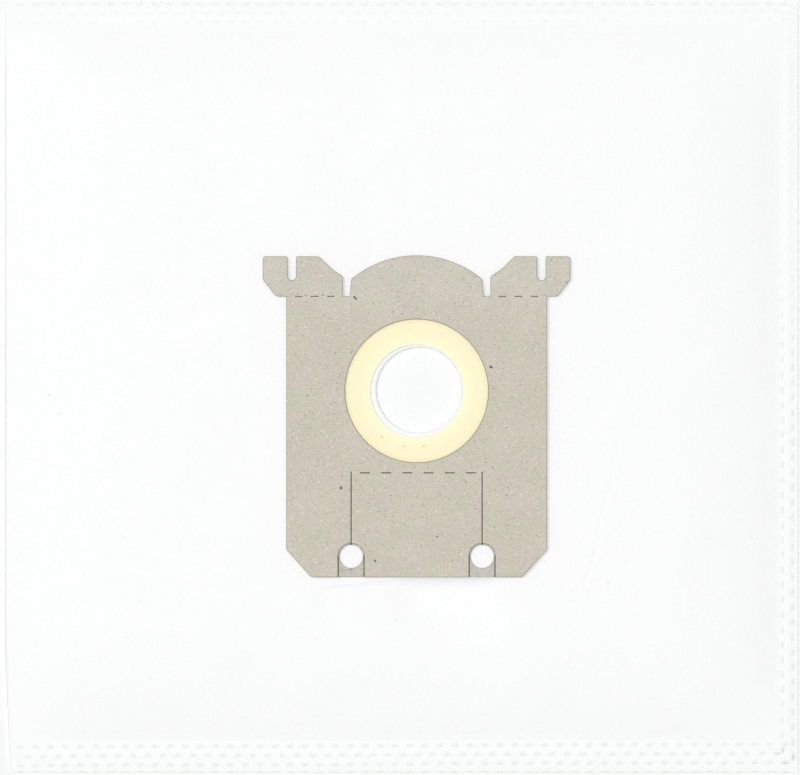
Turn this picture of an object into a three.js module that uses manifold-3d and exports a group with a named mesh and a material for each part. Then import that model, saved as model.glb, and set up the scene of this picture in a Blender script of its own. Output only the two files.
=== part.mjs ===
// Vacuum dust bag: a welded fleece bag with a collar of two boards and a rubber seal.
// All lengths are in millimetres. The back of the bag lies on z = 0 and the collar faces up.
// +X runs from the folded edge to the welded side seam, +Y from the pin notches to the ears.

import * as THREE from 'three';
import { mergeGeometries, mergeVertices } from 'three/addons/utils/BufferGeometryUtils.js';
import Module from 'manifold-3d';

const wasm = await Module();
wasm.setup();

// Fleece bag
const bagWidth = 304.8;
const bagLength = 296;
const fleeceThickness = 0.9;
const insideHeight = 6.4;
const seamThickness = 1.2;
const foldRadius = 1.4;
const slopeWidth = 42;
const sideSeamWidth = 7.5;
const topSeamWidth = 9;
const bottomSeamWidth = 12.4;

// The folded edge is drawn in a little towards the bottom seam
const drawInLength = 51;
const drawInDepth = 2.1;
const drawInPower = 1.15;

// Weld dots: pressed pits in rows along the three welded edges. The rows slant a little
// against the trimmed edges, and rise to the right by this much for each mm.
const dotPitch = 5.76;
const dotLength = 2.6;
const dotWidth = 1.3;
const dotDepth = 0.4;
const dotRowPitch = 3.55;
const rowSlant = 0.0041;
const bottomRowDrop = 0.6;
const topRowDrop = 0.2;
const sideRowOffset = 1.8;
const sideRowPitch = 3.9;
const bottomRowCount = 3;
const topRowCount = 2;
const sideRowCount = 2;
const firstDotMargin = 6.1;
const sideDotMargin = 4.85;
const lastDotMargin = 4;

// Collar: where the middle of its inlet lies on the bag
const collarX = 5.8;
const collarY = -1.4;

// Both boards
const boardThickness = 1.3;
const collarWidth = 100;
const bottomReach = 71.5;
const shoulderHeight = 36.3;
const chamferAcross = 9.5;
const chamferAlong = 10.5;
const crestHeight = 52;
const crestRadius = 39;
const crestTopWidth = 50;
const crestFootWidth = 51.2;
const cornerRadius = 1.6;

// Ears of the front board, which fold back along their perforations
const earSpan = 118;
const earTop = 51.6;
const earFootSpan = 108.2;
const earSideHeight = 6.4;
const earInnerSpan = 56.8;
const earInnerHeight = 7.6;
const earKneeSpan = 65.2;
const earKneeHeight = 10.4;
const earShoulderSpan = 75.2;
const earCornerRadius = 2;
const earTipRadius = 1;
const slotMouthRadius = 0.5;
const slotSpan = 95.8;
const slotWidth = 3.4;
const slotDepth = 9.3;

// Cuts in the front board
const windowDiameter = 55;
const cutWidth = 0.55;
const flapFoldReach = 31.5;
const flapDashLength = 4;
const flapDashPitch = 8.15;
const flapDashShift = 0.5;
const flapDashCount = 6;
const earDashLength = 3;
const earDashPitch = 6.15;
const earDashCount = 3;
const earDashMiddle = 39.1;

// Pin holes of the back board, seen through the notches of the front board
const pinSpacing = 50.3;
const pinReach = 63.6;
const pinHoleDiameter = 9;
const pinNotchWidth = 10.2;

// Inlet: holes in the back board, the seal and the fleece
const inletDiameter = 42;
const fleeceHoleDiameter = 33;
const fleeceHoleShiftX = 0.9;
const fleeceHoleShiftY = 0.3;

// Rubber seal, held between the boards in a pressed seat
const sealHoleDiameter = 35.3;
const sealDiameter = 61;
const sealThickness = 0.7;
const sealSeatClearance = 0.3;

// Smoothness of the faceted curves, and how far a cutting tool runs past what it cuts
const degreesPerFacet = 6;
const foldSteps = 4;
const lipSteps = 4;
const slopeSteps = 6;
const levelSteps = 2;
const samePoint = 1e-5;
const cutMargin = 1;

// Heights of the stack, from the floor up
const insideFloor = fleeceThickness;
const insideTop = insideFloor + insideHeight;
const bagTop = insideTop + fleeceThickness;
const backBoardTop = bagTop + boardThickness;
const frontBoardTop = backBoardTop + boardThickness;
const sealBottom = backBoardTop - sealThickness;

// Finishes: white fleece, grey-beige board and cream rubber
const fleeceFinish = { color: 0xf6f8f6, roughness: 0.95, metalness: 0 };
const frontBoardFinish = { color: 0xcdc7b9, roughness: 0.9, metalness: 0 };
const backBoardFinish = { color: 0xc4c3ba, roughness: 0.9, metalness: 0 };
const rubberFinish = { color: 0xfbf6d2, roughness: 0.55, metalness: 0 };

// Turns a closed geometry into a solid that can be cut
function solidFrom(geometry) {
  const plain = geometry.index ? geometry.toNonIndexed() : geometry;
  plain.deleteAttribute('normal');
  plain.deleteAttribute('uv');
  const merged = mergeVertices(plain, samePoint);
  const corners = merged.index.array;
  const kept = [];
  for (let i = 0; i < corners.length; i += 3) {
    const [a, b, c] = corners.slice(i, i + 3);
    if (a !== b && b !== c && c !== a) kept.push(a, b, c);
  }
  const vertProperties = new Float32Array(merged.attributes.position.array);
  const triVerts = new Uint32Array(kept);
  return new wasm.Manifold(new wasm.Mesh({ numProp: 3, vertProperties, triVerts }));
}

// Turns a cut solid into a mesh with its name and finish
function meshFrom(solid, name, finish) {
  const cut = solid.getMesh();
  const geometry = new THREE.BufferGeometry();
  geometry.setAttribute('position', new THREE.BufferAttribute(new Float32Array(cut.vertProperties), 3));
  geometry.setIndex(new THREE.BufferAttribute(new Uint32Array(cut.triVerts), 1));
  const mesh = new THREE.Mesh(geometry, new THREE.MeshStandardMaterial(finish));
  mesh.name = name;
  return mesh;
}

// A plate with the given outline between two heights
function plate(outline, low, high) {
  const shape = new THREE.Shape(outline);
  const geometry = new THREE.ExtrudeGeometry(shape, { depth: high - low, bevelEnabled: false });
  geometry.translate(0, 0, low);
  return solidFrom(geometry);
}

// Facets that an arc gets for the angle it turns through
function facetsFor(sweep) {
  return Math.max(2, Math.round(Math.abs(sweep) / degreesPerFacet));
}

// Points along an arc, without its last point where the arc closes a circle
function arcPoints(centerX, centerY, radius, startDegrees, sweep, steps = facetsFor(sweep)) {
  const count = Math.abs(sweep) === 360 ? steps : steps + 1;
  return Array.from({ length: count }, (_, i) => {
    const angle = THREE.MathUtils.degToRad(startDegrees + (sweep * i) / steps);
    return new THREE.Vector2(centerX + radius * Math.cos(angle), centerY + radius * Math.sin(angle));
  });
}

function circle(centerX, centerY, diameter) {
  return arcPoints(centerX, centerY, diameter / 2, 0, 360);
}

function rectangle(centerX, centerY, width, height) {
  const x = width / 2;
  const y = height / 2;
  const corners = [[-x, -y], [x, -y], [x, y], [-x, y]];
  return corners.map(([dx, dy]) => new THREE.Vector2(centerX + dx, centerY + dy));
}

// Leaves out points that repeat the one before them
function withoutRepeats(points) {
  return points.filter((point, i) => point.distanceTo(points.at(i - 1)) > samePoint);
}

// Rounds the corners of an outline given as [x, y, radius]
function roundedOutline(corners) {
  const points = corners.flatMap(([x, y, radius], i) => {
    const corner = new THREE.Vector2(x, y);
    if (radius === 0) return [corner];
    const [beforeX, beforeY] = corners[(i + corners.length - 1) % corners.length];
    const [afterX, afterY] = corners[(i + 1) % corners.length];
    const toBefore = new THREE.Vector2(beforeX, beforeY).sub(corner).normalize();
    const toAfter = new THREE.Vector2(afterX, afterY).sub(corner).normalize();
    const halfAngle = Math.acos(THREE.MathUtils.clamp(toBefore.dot(toAfter), -1, 1)) / 2;
    const middle = toBefore.clone().add(toAfter).normalize();
    const center = corner.clone().addScaledVector(middle, radius / Math.sin(halfAngle));
    const first = corner.clone().addScaledVector(toBefore, radius / Math.tan(halfAngle)).sub(center);
    const last = corner.clone().addScaledVector(toAfter, radius / Math.tan(halfAngle)).sub(center);
    const start = THREE.MathUtils.radToDeg(first.angle());
    const turn = THREE.MathUtils.radToDeg(Math.atan2(first.cross(last), first.dot(last)));
    return arcPoints(center.x, center.y, radius, start, turn);
  });
  return withoutRepeats(points);
}

// Crest of both boards: a low arch between two short sides
function crestArch() {
  const centerY = crestHeight - crestRadius;
  const halfSweep = THREE.MathUtils.radToDeg(Math.asin(crestTopWidth / 2 / crestRadius));
  return arcPoints(0, centerY, crestRadius, 90 - halfSweep, 2 * halfSweep).map(({ x, y }) => [x, y, 0]);
}

// A board's outline: its right side, the crest's arch, and the right side's mirror image
function boardOutline(rightSide) {
  const leftSide = rightSide.map(([x, y, radius]) => [-x, y, radius]).reverse();
  return roundedOutline([...rightSide, ...crestArch(), ...leftSide]);
}

function lowerCorners() {
  const side = collarWidth / 2;
  return [
    [side - chamferAcross, -bottomReach, cornerRadius],
    [side, chamferAlong - bottomReach, cornerRadius],
    [side, shoulderHeight, 0],
  ];
}

function earCorners() {
  const slotOuter = slotSpan / 2 + slotWidth / 2;
  const slotInner = slotSpan / 2 - slotWidth / 2;
  const slotFloor = earTop - slotDepth;
  return [
    [earFootSpan / 2, shoulderHeight, earCornerRadius],
    [earSpan / 2, shoulderHeight + earSideHeight, earCornerRadius],
    [earSpan / 2, earTop, earTipRadius],
    [slotOuter, earTop, slotMouthRadius],
    [slotOuter, slotFloor, slotWidth / 2],
    [slotInner, slotFloor, slotWidth / 2],
    [slotInner, earTop, slotMouthRadius],
    [earShoulderSpan / 2, earTop, earTipRadius],
    [earKneeSpan / 2, shoulderHeight + earKneeHeight, earCornerRadius],
    [earInnerSpan / 2, shoulderHeight + earInnerHeight, earTipRadius],
    [earInnerSpan / 2, shoulderHeight, 0],
  ];
}

function crestFoot() {
  return [[crestFootWidth / 2, shoulderHeight, 0]];
}

// Rise of the bag's top from 0 at a seam to 1 on its flat middle, steepest at the seam
function rise(distance) {
  const share = THREE.MathUtils.clamp(distance / slopeWidth, 0, 1);
  return 1 - (1 - share) ** 2;
}

// Rise seen along the bag, from the bottom seam and from the top seam
function riseAlong(along) {
  return Math.min(rise(along - bottomSeamWidth), rise(bagLength - topSeamWidth - along));
}

// Half the height of the rounded fold at a distance from the folded edge
function foldHalfHeight(across) {
  return Math.sqrt(foldRadius ** 2 - Math.max(0, foldRadius - across) ** 2);
}

function outerTop(across, along) {
  const foldRise = (bagTop - 2 * foldRadius) * rise(across - foldRadius);
  const fromFold = foldRadius + foldHalfHeight(across) + foldRise;
  const fromSeam = seamThickness + (bagTop - seamThickness) * rise(bagWidth - sideSeamWidth - across);
  return seamThickness + (Math.min(fromFold, fromSeam) - seamThickness) * riseAlong(along);
}

function outerBottom(across, along) {
  return (foldRadius - foldHalfHeight(across)) * riseAlong(along);
}

function insideRoof(across, along) {
  const foldGap = 2 * (foldRadius - fleeceThickness);
  const fromFold = foldGap + (insideHeight - foldGap) * rise(across - foldRadius);
  const fromSeam = insideHeight * rise(bagWidth - sideSeamWidth - across);
  return insideFloor + Math.min(fromFold, fromSeam) * riseAlong(along);
}

// How far the folded edge is drawn in at a distance from the bottom edge
function drawnIn(along) {
  return drawInDepth * Math.max(0, 1 - along / drawInLength) ** drawInPower;
}

// Evenly spaced distances, both ends included
function stops(start, end, steps) {
  return Array.from({ length: steps + 1 }, (_, i) => start + ((end - start) * i) / steps);
}

// Distances from the folded edge at which the bag's surface has facets
function stopsAcross() {
  const sideSeam = bagWidth - sideSeamWidth;
  return [
    ...stops(foldRadius, foldRadius + slopeWidth, slopeSteps),
    ...stops(foldRadius + slopeWidth, sideSeam - slopeWidth, levelSteps).slice(1, -1),
    ...stops(sideSeam - slopeWidth, sideSeam, slopeSteps),
  ];
}

// Distances from the bottom edge at which the bag's surface has facets
function stopsAlong() {
  const topSeam = bagLength - topSeamWidth;
  return [
    ...stops(bottomSeamWidth, bottomSeamWidth + slopeWidth, slopeSteps),
    ...stops(bottomSeamWidth + slopeWidth, topSeam - slopeWidth, levelSteps).slice(1, -1),
    ...stops(topSeam - slopeWidth, topSeam, slopeSteps),
  ];
}

// Distances from the folded edge at which the rounded fold has facets
function foldStops() {
  return stops(0, Math.PI / 2, foldSteps).map((angle) => foldRadius * (1 - Math.cos(angle)));
}

// Bends a box with many facets so that its top and bottom follow two height functions
function bentSlab(across, along, topAt, bottomAt) {
  const columns = across.length - 1;
  const rows = along.length - 1;
  const geometry = new THREE.BoxGeometry(columns, rows, 1, columns, rows, 1);
  const corners = geometry.attributes.position;
  for (let i = 0; i < corners.count; i += 1) {
    const fromFold = across[Math.round(corners.getX(i) + columns / 2)];
    const fromBottom = along[Math.round(corners.getY(i) + rows / 2)];
    const heightAt = corners.getZ(i) > 0 ? topAt : bottomAt;
    const inward = drawnIn(fromBottom) * (1 - rise(fromFold - foldRadius));
    const x = fromFold + inward - bagWidth / 2;
    const y = fromBottom - bagLength / 2;
    corners.setXYZ(i, x, y, heightAt(fromFold, fromBottom));
  }
  return solidFrom(geometry);
}

// One slanting row of pits along the bottom or top seam
function rowAcross(pit, shift, middleY) {
  const start = firstDotMargin + shift;
  const count = Math.floor((bagWidth - start - lastDotMargin) / dotPitch) + 1;
  return Array.from({ length: count }, (_, i) => {
    const x = start + dotPitch * i - bagWidth / 2;
    return pit.clone().translate(x, middleY + rowSlant * x, seamThickness);
  });
}

// One straight column of pits along the side seam
function columnAlong(pit, shift, x) {
  const start = bottomSeamWidth + sideDotMargin + shift;
  const count = Math.floor((bagLength - topSeamWidth - lastDotMargin - start) / dotPitch) + 1;
  return Array.from({ length: count }, (_, i) => {
    const y = start + dotPitch * i - bagLength / 2;
    return pit.clone().translate(x, y, seamThickness);
  });
}

// Pits that point down, in staggered rows along the bottom, top and side seams
function weldDots() {
  const pit = new THREE.ConeGeometry(Math.SQRT2, 1, 4).rotateY(Math.PI / 4).rotateX(-Math.PI / 2);
  const alongX = pit.clone().scale(dotLength, dotWidth, 2 * dotDepth);
  const alongY = pit.clone().scale(dotWidth, dotLength, 2 * dotDepth);
  const pits = [];
  for (let row = 1; row <= bottomRowCount; row += 1) {
    const shift = row % 2 === 0 ? dotPitch / 2 : 0;
    pits.push(...rowAcross(alongX, shift, row * dotRowPitch - bottomRowDrop - bagLength / 2));
  }
  for (let row = 1; row <= topRowCount; row += 1) {
    const shift = row % 2 === 0 ? 0 : dotPitch / 2;
    pits.push(...rowAcross(alongX, shift, bagLength / 2 - row * dotRowPitch - topRowDrop));
  }
  for (let row = 0; row < sideRowCount; row += 1) {
    const shift = row % 2 === 0 ? 0 : dotPitch / 2;
    pits.push(...columnAlong(alongY, shift, bagWidth / 2 - sideRowOffset - row * sideRowPitch));
  }
  return solidFrom(mergeGeometries(pits));
}

// One sheet of fleece, folded at the left and welded along its other three edges
function fleeceBag() {
  const outerAcross = [...foldStops().slice(0, -1), ...stopsAcross(), bagWidth];
  const outer = bentSlab(outerAcross, [0, ...stopsAlong(), bagLength], outerTop, outerBottom);
  const inside = bentSlab(stopsAcross(), stopsAlong(), insideRoof, () => insideFloor);
  const holeX = collarX + fleeceHoleShiftX;
  const holeY = collarY + fleeceHoleShiftY;
  const hole = plate(circle(holeX, holeY, fleeceHoleDiameter), insideTop - cutMargin, bagTop + cutMargin);
  const bag = outer.subtract(inside).subtract(hole).subtract(weldDots());
  return meshFrom(bag, 'fleece_bag', fleeceFinish);
}

// Board glued to the fleece, with the inlet, the pin holes and the seal's pressed seat
function backBoard() {
  const board = plate(boardOutline([...lowerCorners(), ...crestFoot()]), bagTop, backBoardTop);
  const inlet = plate(circle(0, 0, inletDiameter), bagTop - cutMargin, backBoardTop + cutMargin);
  const seatDiameter = sealDiameter + 2 * sealSeatClearance;
  const seat = plate(circle(0, 0, seatDiameter), sealBottom, backBoardTop + cutMargin);
  const pinHoles = [-1, 1].map((side) => {
    const outline = circle((side * pinSpacing) / 2, -pinReach, pinHoleDiameter);
    return plate(outline, bagTop - cutMargin, backBoardTop + cutMargin);
  });
  const cut = [inlet, seat, ...pinHoles].reduce((solid, tool) => solid.subtract(tool), board);
  return meshFrom(cut, 'back_board', backBoardFinish);
}

// Thin rubber ring with a rounded lip around its hole
function sealRing() {
  const inner = sealHoleDiameter / 2;
  const outer = sealDiameter / 2;
  const lipRadius = sealThickness / 2;
  const lip = arcPoints(inner + lipRadius, sealBottom + lipRadius, lipRadius, 90, 180, lipSteps);
  const rim = [new THREE.Vector2(outer, sealBottom), new THREE.Vector2(outer, backBoardTop)];
  const geometry = new THREE.LatheGeometry([...lip, ...rim, lip[0]], facetsFor(360));
  geometry.rotateX(Math.PI / 2);
  return meshFrom(solidFrom(geometry), 'seal_ring', rubberFinish);
}

// Perforation dashes in a line along X
function dashes(middleX, y, length, pitch, count) {
  return Array.from({ length: count }, (_, i) => {
    const x = middleX + (i - (count - 1) / 2) * pitch;
    return rectangle(x, y, length, cutWidth);
  });
}

// Notch open at the board's bottom edge, with a round top around the pin hole
function pinNotch(side) {
  const x = (side * pinSpacing) / 2;
  const low = -bottomReach - cutMargin;
  const corners = rectangle(x, low, pinNotchWidth, 0).slice(0, 2);
  return [...arcPoints(x, -pinReach, pinNotchWidth / 2, 0, 180), ...corners];
}

// Slit from the flap's fold down into the notch
function flapSlit(side) {
  const top = cutWidth - flapFoldReach;
  return rectangle((side * pinSpacing) / 2, (top - pinReach) / 2, cutWidth, top + pinReach);
}

// Visible board, with the window, the folding flap, the notches and two ears
function frontBoard() {
  const rightSide = [...lowerCorners(), ...earCorners(), ...crestFoot()];
  const board = plate(boardOutline(rightSide), backBoardTop, frontBoardTop);
  const low = backBoardTop - cutMargin;
  const high = frontBoardTop + cutMargin;
  const outlines = [
    circle(0, 0, windowDiameter),
    ...dashes(flapDashShift, -flapFoldReach, flapDashLength, flapDashPitch, flapDashCount),
    ...[-1, 1].flatMap((side) => [
      ...dashes(side * earDashMiddle, shoulderHeight, earDashLength, earDashPitch, earDashCount),
      flapSlit(side),
      pinNotch(side),
    ]),
  ];
  const cut = outlines.reduce((solid, outline) => solid.subtract(plate(outline, low, high)), board);
  return meshFrom(cut, 'front_board', frontBoardFinish);
}

const collar = new THREE.Group();
collar.position.set(collarX, collarY, 0);
collar.add(backBoard(), sealRing(), frontBoard());

const dustBag = new THREE.Group();
dustBag.add(fleeceBag(), collar);

export default dustBag;
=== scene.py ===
# %% [markdown]
# # A vacuum dust bag, seen flat from above
# The real bag is one sheet of white non-woven fleece. It is folded at the left and welded to itself with
# rows of small dots along its other three edges. A collar of two grey-beige boards is glued on top, and a
# thin cream rubber ring between the boards seals the inlet.
#
# The imported model is the frame: it fixes every size and place. Blender adds what solids can't show, such
# as the limp fleece, its welds and fibres, the flecks of recycled board and the soft glow of the rubber.
# We load the frame first and keep its box, to print it at the end beside the box of what is shown.

# %% Load the frame and keep its box
import math

import bmesh
import bpy
import numpy as np
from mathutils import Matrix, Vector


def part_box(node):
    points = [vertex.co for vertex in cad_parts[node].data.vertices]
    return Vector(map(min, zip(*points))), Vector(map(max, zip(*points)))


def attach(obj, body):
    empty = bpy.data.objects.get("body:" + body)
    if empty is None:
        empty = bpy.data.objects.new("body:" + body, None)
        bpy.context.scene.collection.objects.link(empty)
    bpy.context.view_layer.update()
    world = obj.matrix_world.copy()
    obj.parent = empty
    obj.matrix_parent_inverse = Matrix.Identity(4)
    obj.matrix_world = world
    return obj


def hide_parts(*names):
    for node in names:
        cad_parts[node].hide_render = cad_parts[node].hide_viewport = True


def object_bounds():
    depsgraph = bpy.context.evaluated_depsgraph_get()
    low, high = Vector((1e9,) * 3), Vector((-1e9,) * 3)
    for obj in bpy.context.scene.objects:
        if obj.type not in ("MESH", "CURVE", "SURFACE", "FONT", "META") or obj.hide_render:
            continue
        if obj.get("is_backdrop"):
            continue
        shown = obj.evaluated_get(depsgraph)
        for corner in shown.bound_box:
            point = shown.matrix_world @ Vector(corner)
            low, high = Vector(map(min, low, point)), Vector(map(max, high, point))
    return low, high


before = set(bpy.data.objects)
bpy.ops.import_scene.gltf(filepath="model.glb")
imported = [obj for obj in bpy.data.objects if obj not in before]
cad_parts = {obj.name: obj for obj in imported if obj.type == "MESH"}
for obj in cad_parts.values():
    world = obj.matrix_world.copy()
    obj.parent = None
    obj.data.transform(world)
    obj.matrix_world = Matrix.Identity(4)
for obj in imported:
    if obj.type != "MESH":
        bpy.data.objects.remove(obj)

MM = 0.001
cad_low, cad_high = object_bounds()
print("whole object, mm:", [round(v / MM, 2) for v in (*cad_low, *cad_high)])
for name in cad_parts:
    low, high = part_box(name)
    print(name, "mm:", [round(v / MM, 2) for v in (*low, *high)])

# %% [markdown]
# ## The camera
# The bag was laid on a flat bed and looked at from straight above. A very long lens far away comes close to
# that flat view, and it still shrinks what lies lower, as a real lens does. An orthographic camera would
# also do, but a lens keeps working when the camera is moved round the object for other views.
#
# The lens follows from one sum: sensor width divided by lens equals view width divided by distance. One
# pixel has to cover 0.384 mm at the height of the collar's face.

# %% Place the camera straight above the collar
IMAGE_WIDTH, SENSOR_WIDTH = 800, 36
PIXEL = 0.384 * MM
CAMERA_DISTANCE = 10.0
VIEW_CENTRE = (-0.576 * MM, -0.115 * MM)


def with_settings(thing, **settings):
    """Changes several settings of something in Blender, and gives it back."""
    for setting, value in settings.items():
        setattr(thing, setting, value)
    return thing


def add_object(name, data, **settings):
    """Makes an object from its data and puts it in the scene."""
    made = bpy.data.objects.new(name, data)
    bpy.context.scene.collection.objects.link(made)
    return with_settings(made, **settings)


lens = SENSOR_WIDTH * CAMERA_DISTANCE / (IMAGE_WIDTH * PIXEL)
camera_data = with_settings(bpy.data.cameras.new("camera_above"), sensor_width=SENSOR_WIDTH, lens=lens,
                            clip_start=0.1, clip_end=2 * CAMERA_DISTANCE)
camera_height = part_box("front_board")[1].z + CAMERA_DISTANCE
bpy.context.scene.camera = add_object("camera_above", camera_data, location=(*VIEW_CENTRE, camera_height))
print("lens, mm:", round(lens))

# %% [markdown]
# ## Sums made of nodes
# Every material below is a small tree of nodes. Adding a node, setting it up and linking it takes five
# lines each time, so one helper does it: an input gets a plain value, or a link from another node's output.
#
# A small class holds such an output, so that a sum of outputs reads like a sum of numbers. Each sign in it
# adds one Math node to the tree that the output belongs to.

# %% A node's output that sums can be written with
def sign_for(operation, swapped=False):
    """A method that makes one Math node from an output and another value."""
    def method(first, *second):
        return sum_of(operation, *second, first) if swapped else sum_of(operation, first, *second)
    return method


class Output:
    """One output of a node. The usual signs turn it into new Math nodes."""
    __add__, __sub__, __rsub__ = sign_for("ADD"), sign_for("SUBTRACT"), sign_for("SUBTRACT", True)
    __mul__, __truediv__, __rtruediv__ = sign_for("MULTIPLY"), sign_for("DIVIDE"), sign_for("DIVIDE", True)
    __abs__ = sign_for("ABSOLUTE")

    def __init__(self, socket):
        self.socket = socket

    def __getitem__(self, name):
        """Another output of the same node."""
        return Output(self.socket.node.outputs[name])


def add_node(tree, kind, inputs=None, **settings):
    """Adds a node, changes its settings, fills its inputs, and gives back its first output."""
    made = with_settings(tree.nodes.new(kind), **settings)
    for name, value in (inputs or {}).items():
        if isinstance(value, Output):
            tree.links.new(value.socket, made.inputs[name])
        else:
            made.inputs[name].default_value = value
    return Output(made.outputs[0]) if made.outputs else None


def tree_of(values):
    """The tree that the first output among some values belongs to."""
    return next(value.socket.id_data for value in values if isinstance(value, Output))


def sum_of(operation, *values, clamp=False):
    """One Math node. Each value is a number or an output."""
    inputs = dict(enumerate(values))
    return add_node(tree_of(values), "ShaderNodeMath", inputs, operation=operation, use_clamp=clamp)


def vector_sum(operation, *values):
    """One Vector Math node."""
    made = add_node(tree_of(values), "ShaderNodeVectorMath", dict(enumerate(values)), operation=operation)
    return made["Value"] if operation == "LENGTH" else made


def largest(values):
    """The largest of several outputs."""
    found, *others = values
    for other in others:
        found = sum_of("MAXIMUM", found, other)
    return found


# %% Steps that come back often
def split(vector):
    """The parts of a vector: X, Y and Z."""
    return add_node(tree_of([vector]), "ShaderNodeSeparateXYZ", {0: vector})


def distance_from(place, centre):
    """Distance from a centre, as seen from above."""
    flat = vector_sum("MULTIPLY", vector_sum("SUBTRACT", place, centre), (1, 1, 0))
    return vector_sum("LENGTH", flat)


def step_down(value, full, none):
    """1 where the value is at most full, 0 where it is at least none, and smooth in between."""
    inputs = {0: value, 1: full, 2: none, 3: 1.0, 4: 0.0}
    return add_node(tree_of([value]), "ShaderNodeMapRange", inputs, interpolation_type="SMOOTHSTEP")


def step_up(value, none, full):
    return 1.0 - step_down(value, none, full)


def noise_at(vector, size, detail=2.0):
    """Noise with features of about a given size in metres, from 0 to 1."""
    inputs = {"Vector": vector, "Scale": 1 / size, "Detail": detail}
    return add_node(tree_of([vector]), "ShaderNodeTexNoise", inputs)


def blend_colours(share, first, second, blend_type="MIX"):
    """Mixes two colours by a share from 0 to 1."""
    inputs = {0: share, 6: first, 7: second}
    tree = tree_of(inputs.values())
    return add_node(tree, "ShaderNodeMix", inputs, data_type="RGBA", blend_type=blend_type)[2]


def colour(red, green, blue):
    """A screen colour, 0 to 255, as the linear colour that a shader reads."""
    shares = [v / 255 for v in (red, green, blue)]
    return (*[v / 12.92 if v <= 0.04045 else ((v + 0.055) / 1.055) ** 2.4 for v in shares], 1.0)


def tint(under, mask, *shade):
    """Lays a screen colour over another colour, where the mask is 1."""
    return blend_colours(mask, under, colour(*shade))


print("mid grey as a linear value:", round(colour(128, 128, 128)[0], 3))

# %% [markdown]
# ## Light and floor
# White on white needs even light: a bright room all round, one large soft panel overhead and a weaker one
# from the left, which draws the thin shadows at the right of the collar and at the left of its window.
# Together they give a flat white surface a value of about 1, so every colour renders about as it is written.
#
# The floor is pale and keeps the shadow. The background is white only where the camera looks at it: a Light
# Path node swaps the room's light for plain white on those rays, so the object gets no extra light.

# %% Light the room
ROOM_LIGHT = 0.3
PANELS = {
    "panel_overhead": {"place": (0.0, 0.0, 6.0), "size": 1.8, "watts": 191.0},
    "panel_left": {"place": (-2.2, 1.0, 5.3), "size": 1.1, "watts": 64.5},
}


def light_room():
    room = bpy.data.worlds.new("bright_room")
    room.use_nodes = True
    bpy.context.scene.world = room
    tree = room.node_tree
    tree.nodes.clear()
    path = add_node(tree, "ShaderNodeLightPath")
    seen = largest(path[f"Is {kind} Ray"] for kind in ("Camera", "Glossy", "Transmission"))
    light, white = [add_node(tree, "ShaderNodeBackground", {"Color": (1, 1, 1, 1), "Strength": strength})
                    for strength in (ROOM_LIGHT, 1.0)]
    mixed = add_node(tree, "ShaderNodeMixShader", {0: seen, 1: light, 2: white})
    add_node(tree, "ShaderNodeOutputWorld", {"Surface": mixed})


def hang_panel(name, place, size, watts):
    lamp = with_settings(bpy.data.lights.new(name, "AREA"), size=size, energy=watts)
    panel = add_object(name, lamp, location=place, rotation_mode="QUATERNION", visible_camera=False)
    panel.rotation_quaternion = (-panel.location).to_track_quat("-Z", "Y")


bpy.context.scene.view_settings.view_transform = "Standard"
light_room()
for panel_name, panel in PANELS.items():
    hang_panel(panel_name, **panel)
print("lamps:", ", ".join(PANELS))


# %% Lay the floor
FLOOR_HALF, FLOOR_LEVEL = 6.0, -0.2 * MM


def new_material(name):
    """A material without nodes."""
    made = bpy.data.materials.new(name)
    made.use_nodes = True
    made.node_tree.nodes.clear()
    return made


def give_surface(material, inputs):
    """Adds a material's Principled BSDF, with its values and links, and its output."""
    surface = add_node(material.node_tree, "ShaderNodeBsdfPrincipled", inputs)
    add_node(material.node_tree, "ShaderNodeOutputMaterial", {"Surface": surface})
    return material


def lay_floor():
    corners = [(x * FLOOR_HALF, y * FLOOR_HALF, FLOOR_LEVEL) for x, y in ((-1, -1), (1, -1), (1, 1), (-1, 1))]
    mesh = bpy.data.meshes.new("floor")
    mesh.from_pydata(corners, [], [(0, 1, 2, 3)])
    mesh.materials.append(give_surface(new_material("pale_floor"), {
        "Base Color": (0.93, 0.93, 0.93, 1), "Roughness": 0.9, "Specular IOR Level": 0.1}))
    add_object("floor", mesh)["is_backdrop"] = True


lay_floor()
print("floor, m wide:", 2 * FLOOR_HALF)

# %% [markdown]
# ## The shape of the fleece, as rules
# A new bag holds a little air. Its top rises from each seam in a soft slope to a flat middle under the
# collar. These are the same rules as in the solid, with the same sizes, so the cloth stays in the place that
# the solid keeps for it. They work on whole arrays of points at once. The solid's back is quite flat. The
# real one, packed flat for months, still clings up a little towards the inlet, so that it looks close and
# bright through the hole, and we give the cloth that low dome.
# "across" is the distance from the folded edge and "along" the distance from the bottom edge, both in mm.

# %% Heights of the bag's walls
BAG_WIDTH, BAG_LENGTH = 304.8, 296.0
FLEECE = 0.9
INSIDE = 6.4
BAG_TOP = 2 * FLEECE + INSIDE
SEAM = 1.2
TRIMMED, TRIMMED_REACH = 0.6, 3.2
FOLD_RADIUS = 1.4
SLOPE = 42.0
SIDE_SEAM, TOP_SEAM, BOTTOM_SEAM = 7.5, 9.0, 12.4
DRAW_IN_LENGTH, DRAW_IN_DEPTH, DRAW_IN_POWER = 51.0, 2.1, 1.15
HOLE_X, HOLE_Y, HOLE_RADIUS = 6.7, -1.1, 16.5
DOME_HEIGHT, DOME_RADIUS, DOME_END = 5.5, 62.0, 0.03


def in_frame(across, along):
    """x and y in the frame."""
    return across - BAG_WIDTH / 2, along - BAG_LENGTH / 2


def rise(distance):
    """0 at a seam and 1 on the flat middle, steepest at the seam."""
    return 1 - (1 - np.clip(distance / SLOPE, 0, 1)) ** 2


def rise_along(along):
    return np.minimum(rise(along - BOTTOM_SEAM), rise(BAG_LENGTH - TOP_SEAM - along))


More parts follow.
